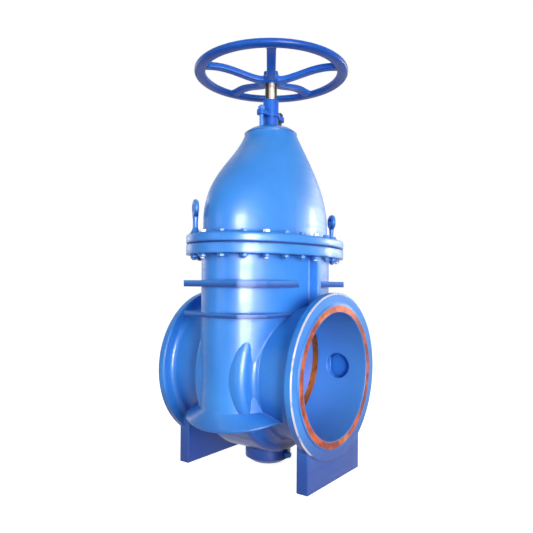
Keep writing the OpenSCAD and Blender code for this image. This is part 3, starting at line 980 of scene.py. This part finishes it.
@dataclass
class EyeBolt:
    """Forged lifting eye on a flared foot."""

    node: str
    ring_d: float = 0.084
    ring_t: float = 0.025
    turn_deg: float = -38.0
    post_d: float = 0.025
    foot_d: float = 0.056
    foot_h: float = 0.026
    post_points: int = 40
    tube_points: int = 20
    ring_points: int = 56
    voxel: float = 0.0022
    passes: int = 6

    def build(self, finish: bpy.types.Material) -> None:
        """Build the eye in place of its plain node."""
        low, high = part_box(self.node)
        middle = (low + high) / 2
        mesh = Mesh(f"{self.node}_forging")
        stand = Matrix.Translation(Vector((middle.x, middle.y, low.z)))
        neck = high.z - low.z - self.ring_d + 0.6 * self.ring_t
        curve = [(self.foot_d / 2, 0.0), (self.foot_d / 2, 0.004), (0.42 * self.foot_d, 0.3 * self.foot_h),
                 (0.32 * self.foot_d, 0.6 * self.foot_h), (0.5 * self.post_d, 1.2 * self.foot_h),
                 (0.47 * self.post_d, 0.6 * neck), (0.6 * self.post_d, neck)]
        mesh.turned(curve, self.post_points, stand)
        tube, radius = self.ring_t / 2, (self.ring_d - self.ring_t) / 2
        face = Matrix.Translation(Vector((middle.x, middle.y, high.z - self.ring_d / 2)))
        face = face @ Matrix.Rotation(math.radians(self.turn_deg), 4, "Z")
        face = face @ Matrix.Rotation(math.pi / 2, 4, "X")
        tube_line = squircle(tube, tube, 2, self.tube_points)
        mesh.looped([[face @ point for point in oval(radius + a, radius + a, b, self.ring_points)]
                     for a, b in tube_line])
        piece = mesh.finish(finish, Body.VALVE, "blue_paint", voxel=self.voxel, passes=self.passes)
        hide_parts(self.node)


@dataclass(frozen=True)
class HexFastener:
    """A hexagon bolt head or nut on its washer, with a thread end where there is one."""

    thread_d: float
    height: float = 0.8
    washer_sides: int = 24
    thread_sides: int = 20

    def add(self, mesh: Mesh, foot: Vector, up: Vector, end_h: float = 0.0, bare: float = 0.0) -> None:
        """Add the washer, the hexagon and the thread end to a mesh.

        Args:
            mesh: The mesh that takes them.
            foot: Where the washer sits.
            up: The way that the fastener points.
            end_h: How far the thread stands out of the hexagon, or 0 for a bolt head.
            bare: Share of bare metal on its end.
        """
        d = self.thread_d
        frame = Matrix.Translation(foot) @ up.to_track_quat("Z", "Y").to_matrix().to_4x4()
        washer_t, hex_h, corner = 0.15 * d, self.height * d, 0.87 * d
        washer = [(0.94 * d, 0), (0.98 * d, 0.3 * washer_t), (0.98 * d, 0.8 * washer_t),
                  (0.93 * d, washer_t)]
        mesh.turned(washer, self.washer_sides, frame)
        top = washer_t + hex_h
        hexagon = [(0.92 * corner, washer_t), (corner, washer_t + 0.1 * d), (corner, top - 0.14 * d),
                   (0.93 * corner, top - 0.05 * d), (0.84 * corner, top)]
        mesh.turned(hexagon, 6, frame, 0.0 if end_h else bare)
        if end_h:
            tip = top + end_h
            thread = [(0.5 * d, washer_t + 0.5 * hex_h), (0.5 * d, tip - 0.12 * d),
                      (0.45 * d, tip - 0.03 * d), (0.36 * d, tip)]
            mesh.turned(thread, self.thread_sides, frame, bare)


@dataclass
class JointBolting:
    """Bolt heads on top of the oval joint flange, nuts and thread ends below it."""

    half_len: float
    half_wid: float
    top_z: float
    low_z: float
    count: int = 24
    phase: float = 0.69
    inset: float = 0.034
    head: HexFastener = field(default_factory=lambda: HexFastener(0.020, 0.62))
    nut: HexFastener = field(default_factory=lambda: HexFastener(0.019, 0.7))
    bare_every: int = 3
    bare_at: int = 2
    eye_room: float = 0.045
    thread_end: float = 0.006
    line_points: int = 1440

    def places(self) -> list[tuple[float, float]]:
        """Even places along the oval bolt line.

        Returns:
            Points in the plane of the flange.
        """
        line = oval(self.half_len - self.inset, self.half_wid - self.inset, 0.0, self.line_points)
        spans = [(after - before).length for before, after in zip(line, line[1:] + line[:1])]
        pitch = sum(spans) / self.count
        found: list[tuple[float, float]] = []
        run = (1 - self.phase) * pitch
        for point, span in zip(line, spans):
            if run >= pitch and len(found) < self.count:
                found.append((point.x, point.y))
                run -= pitch
            run += span
        return found

    def build(self, finish: bpy.types.Material, eyes: Sequence[Vector]) -> None:
        """Build the bolt heads and the nuts.

        Args:
            finish: Their finish.
            eyes: Places taken by the lifting eyes.
        """
        heads, nuts = Mesh("joint_bolt_heads"), Mesh("joint_nuts")
        for i, (x, y) in enumerate(self.places()):
            bare = 1.0 if i % self.bare_every == self.bare_at else 0.0
            self.nut.add(nuts, Vector((x, y, self.low_z)), Vector((0, 0, -1)), self.thread_end, bare)
            if all(math.hypot(x - eye.x, y - eye.y) > self.eye_room for eye in eyes):
                self.head.add(heads, Vector((x, y, self.top_z)), Vector((0, 0, 1)), bare=bare)
        for mesh in (heads, nuts):
            mesh.finish(finish, Body.VALVE, "blue_paint")


@dataclass
class CoverBolting:
    """Bolts of the by-pass covers at the back."""

    nodes: tuple[str, ...] = ("bypass_cover_inlet", "bypass_cover_outlet")
    count: int = 8
    line_share: float = 0.41
    fastener: HexFastener = field(default_factory=lambda: HexFastener(0.014, 0.62))

    def build(self, finish: bpy.types.Material) -> None:
        """Build a ring of bolts on each cover."""
        for node in self.nodes:
            low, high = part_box(node)
            middle = (low + high) / 2
            line_r = self.line_share * (high.x - low.x)
            mesh = Mesh(f"{node}_bolts")
            for i in range(self.count):
                turn = 2 * math.pi * (i + 0.5) / self.count
                x, z = middle.x + line_r * math.cos(turn), middle.z + line_r * math.sin(turn)
                foot = Vector((x, high.y, z))
                self.fastener.add(mesh, foot, Vector((0, 1, 0)))
            mesh.finish(finish, Body.VALVE, "blue_paint")


@dataclass
class Valve:
    """The whole valve: finishes on the frame's nodes, and the castings and fasteners that dress it."""

    nodes: dict[str, bpy.types.Object]
    enamel: Enamel = Enamel("blue_enamel", Tone.PAINT, Tone.PAINT_LIGHT, Tone.PAINT_DEEP)
    small_enamel: Enamel = Enamel("blue_enamel_small", Tone.PAINT, Tone.PAINT_LIGHT, Tone.PAINT_DEEP,
                                  edge_radius=0.003, grain=0.4)
    wheel_enamel: Enamel = Enamel("wheel_enamel", Tone.WHEEL, Tone.WHEEL_LIGHT, Tone.WHEEL_DEEP,
                                  edge_radius=0.003, grain=0.3, gloss=0.34, coat=0.0, sheen=0.16,
                                  shade=0.3)
    raised_h: float = 0.005
    bore_r: float = 0.300
    raised_r: float = 0.338
    flange_r: float = 0.390
    ribs: tuple[tuple[float, float], ...] = ((0.904, 0.933), (0.768, 0.786))

    @staticmethod
    def axis_z() -> float:
        """Height of the port axis."""
        low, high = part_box("seat_ring_outlet")
        return (low.z + high.z) / 2

    def body_finish(self) -> BodyFinish:
        """The body's finish, placed by its ports."""
        _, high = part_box("body")
        return BodyFinish(self.enamel, high.x, self.raised_h, self.axis_z(), self.bore_r, self.raised_r,
                          self.flange_r, self.ribs)

    def dress(self) -> None:
        """Give every node its finish."""
        paint, small = self.enamel.material(), self.small_enamel.material()
        wheel, body = WheelFinish(self.wheel_enamel).material(), self.body_finish().material()
        bronze = TurnedMetal("bronze", Tone.BRONZE, Tone.BRONZE_DARK, 0.32).material()
        steel = TurnedMetal("stem_steel", Tone.STEEL, Tone.STEEL_STAIN, 0.22, shaded_sides=True)
        finishes = {
            "body": body,
            "gland_bolts": GlandBolting(self.small_enamel).material(),
            "bonnet_gasket": PaintedSeam(Tone.SEAM, Tone.BLACK).material(),
        }
        groups = {
            bronze: ("seat_ring_inlet", "seat_ring_outlet", "wedge_ring_inlet", "wedge_ring_outlet",
                     "stem_nut"),
            steel.material(): ("stem", "handwheel_washer"),
            wheel: ("handwheel", "handwheel_nut", "stuffing_box", "gland"),
            small: (*EYE_NODES, "drain_plug"),
        }
        finishes.update({name: finish for finish, names in groups.items() for name in names})
        for name, node in self.nodes.items():
            node.data.materials.clear()
            node.data.materials.append(finishes.get(name, paint))
            LOG.info("%s dressed with %s", name, node.data.materials[0].name)
        BonnetCasting().build(paint)
        HandwheelCasting().build(wheel)
        DrumShoulder(self.axis_z()).build(body)
        for name in EYE_NODES:
            EyeBolt(name).build(small)

    def fasten(self) -> None:
        """Build the fasteners."""
        finish = PaintedFastener(self.small_enamel).material()
        _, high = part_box("bonnet")
        gasket_low, gasket_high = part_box("bonnet_gasket")
        flange_t = BonnetCasting.flange_t
        eyes = [sum(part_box(name), Vector()) / 2 for name in EYE_NODES]
        bolting = JointBolting(high.x, high.y, gasket_high.z + flange_t, gasket_low.z - flange_t)
        bolting.build(finish, eyes)
        CoverBolting().build(finish)


@dataclass(frozen=True)
class Lamp:
    """One soft lamp that faces the valve, placed by its bearing from the camera's side."""

    name: str
    bearing_deg: float
    elevation_deg: float
    reach: float
    width: float
    height: float
    power: float
    scatters: bool = True


@dataclass
class Studio:
    """Floor, light and camera."""

    sensor_mm: float = 36.0
    eye_h: float = 0.9165
    distance: float = 2.740
    bearing_deg: float = 36.12
    sideways: float = 0.0063
    focal_px: float = 536.0
    frame_px: float = 533.0
    horizon_px: float = 284.4
    right_px: float = -1.7
    roll_deg: float = -0.48
    aim: Vector = field(default_factory=lambda: Vector((0, 0, 1.0)))
    lamps: tuple[Lamp, ...] = (
        Lamp("key", 16, -2, 4.6, 0.9, 2.0, 126),
        Lamp("glint", 20, 2, 4.6, 1.7, 2.2, 540, False),
        Lamp("front", 38, 0, 5.0, 2.0, 2.0, 92),
        Lamp("side", 118, 8, 4.6, 0.4, 0.7, 72, False),
        Lamp("left", -42, 6, 4.8, 2.4, 2.4, 54),
        Lamp("top", 0, 80, 3.6, 2.4, 2.4, 2),
        Lamp("back_left", -128, 12, 5.0, 2.0, 2.2, 44),
        Lamp("back_right", 134, 12, 5.2, 2.0, 2.2, 44),
        Lamp("back_top", 180, 58, 4.6, 2.4, 2.0, 34),
    )
    around: float = 0.24
    floor_half: float = 40.0
    floor_dull: float = 0.22
    floor_lit: float = 0.7
    floor_glow: float = 0.9

    def camera(self) -> None:
        """Set the camera where the photograph was taken."""
        data = bpy.data.cameras.new("camera")
        data.sensor_width = self.sensor_mm
        data.sensor_fit = "HORIZONTAL"
        data.lens = data.sensor_width * self.focal_px / self.frame_px
        data.shift_y = (self.horizon_px - self.frame_px / 2) / self.frame_px
        data.shift_x = self.right_px / self.frame_px
        camera = placed("camera", data)
        turn = math.radians(self.bearing_deg)
        across = Vector((math.cos(turn), math.sin(turn), 0))
        back = Vector((math.sin(turn), -math.cos(turn), 0))
        camera.location = back * self.distance - across * self.sideways + Vector((0, 0, self.eye_h))
        camera.rotation_euler = (math.radians(90), math.radians(self.roll_deg), turn)
        bpy.context.scene.camera = camera

    def hang(self, lamp: Lamp) -> None:
        """Hang one lamp."""
        data = bpy.data.lights.new(lamp.name, "AREA")
        data.shape = "RECTANGLE"
        data.size, data.size_y = lamp.width, lamp.height
        data.energy = lamp.power
        light = placed(lamp.name, data)
        turn = math.radians(self.bearing_deg + lamp.bearing_deg)
        lift = math.radians(lamp.elevation_deg)
        away = Vector((math.sin(turn) * math.cos(lift), -math.cos(turn) * math.cos(lift), math.sin(lift)))
        light.location = self.aim + away * lamp.reach
        light.rotation_euler = away.to_track_quat("Z", "Y").to_euler()
        light.visible_diffuse = lamp.scatters

    def world(self) -> None:
        """Plain pale light all round, white behind the valve."""
        graph = Graph(bpy.data.worlds.new("studio"))
        soft = graph.node("ShaderNodeBackground", None, {"Color": WHITE, "Strength": self.around})
        plain = graph.node("ShaderNodeBackground", None, {"Color": WHITE, "Strength": 1.0})
        shown = graph.node("ShaderNodeMixShader", None, {0: graph.seen(), 1: soft, 2: plain})
        graph.node("ShaderNodeOutputWorld", None, {"Surface": shown})
        bpy.context.scene.world = graph.owner

    def floor(self) -> None:
        """Lay a plain pale floor that keeps the valve's shadow."""
        mesh = bmesh.new()
        bmesh.ops.create_grid(mesh, x_segments=1, y_segments=1, size=self.floor_half)
        data = bpy.data.meshes.new("floor")
        mesh.to_mesh(data)
        mesh.free()
        graph = Graph.material("pale_floor")
        dull = graph.node("ShaderNodeBsdfDiffuse", None, {"Color": (self.floor_dull,) * 3})
        lit = graph.node("ShaderNodeBsdfDiffuse", None, {"Color": (self.floor_lit,) * 3})
        glow = graph.node("ShaderNodeEmission", None, {"Color": WHITE, "Strength": self.floor_glow})
        pale = graph.node("ShaderNodeAddShader", None, {0: lit, 1: glow})
        shown = graph.node("ShaderNodeMixShader", None, {0: graph.seen(), 1: dull, 2: pale})
        graph.node("ShaderNodeOutputMaterial", None, {"Surface": shown})
        data.materials.append(graph.owner)
        placed("floor", data)

    def build(self) -> None:
        """Set up the whole studio."""
        bpy.context.scene.view_settings.view_transform = "Standard"
        self.camera()
        self.world()
        self.floor()
        for lamp in self.lamps:
            self.hang(lamp)


def main() -> None:
    """Build the scene in order."""
    logging.basicConfig(level=logging.INFO, format="%(name)s: %(message)s")
    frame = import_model()
    Studio().build()
    valve = Valve(frame["nodes"])
    valve.dress()
    valve.fasten()


if __name__ == "__main__":
    main()
